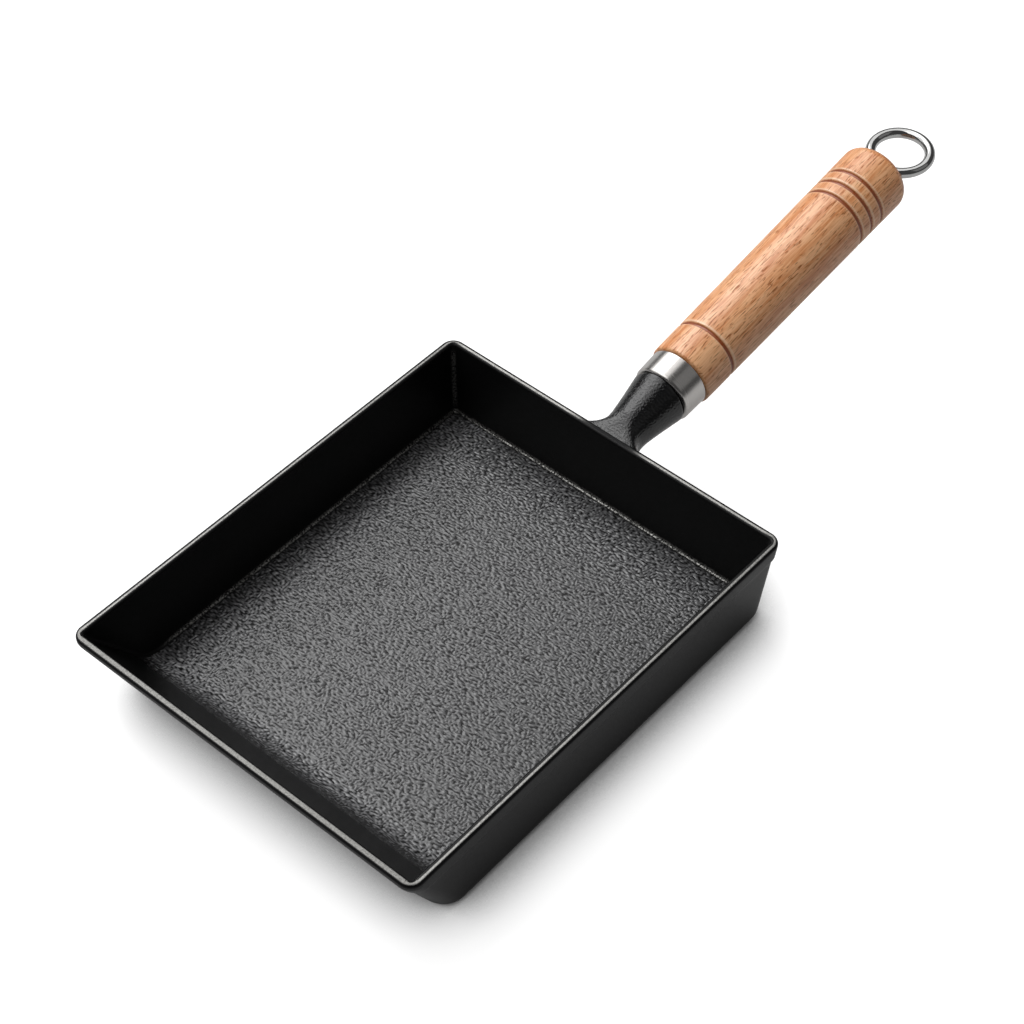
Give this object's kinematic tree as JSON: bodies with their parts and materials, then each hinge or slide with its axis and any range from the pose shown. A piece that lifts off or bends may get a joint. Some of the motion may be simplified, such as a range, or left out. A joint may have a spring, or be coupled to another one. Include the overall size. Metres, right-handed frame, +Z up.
{
  "type": "frying pan",
  "caption": "Rectangular cast-iron omelette pan with a sloped front wall, a turned wooden handle on a flared neck and a ring to hang it by.",
  "frame": {"origin": "on the plane of the flat base, under the centre of the rim", "axes": "+Y along the pan towards the handle, +Z up, +X to the right seen from the front wall"},
  "size_m": [0.15, 0.3745, 0.07],
  "materials": {
    "cast_iron": "black seasoned casting, finely wrinkled floor, worn satin rim",
    "satin_steel": "satin",
    "beech": "oiled, with scorched grooves",
    "plain_steel": "plain",
    "polished_steel": "polished"
  },
  "bodies": {
    "pan": {"pan_body": "cast_iron", "ferrule": "satin_steel", "handle_grip": "beech", "tie_rod": "plain_steel", "rod_washer": "plain_steel", "eye_nut": "plain_steel"},
    "ring": {"hanging_ring": "polished_steel"}
  },
  "joints": [
    {"name": "ring_swing", "type": "hinge", "parent": "pan", "child": "ring", "pos_m": [0, 0.25609, 0.05704], "axis": [1, 0, 0], "range_deg": [-74.8, 85.2]}
  ]
}
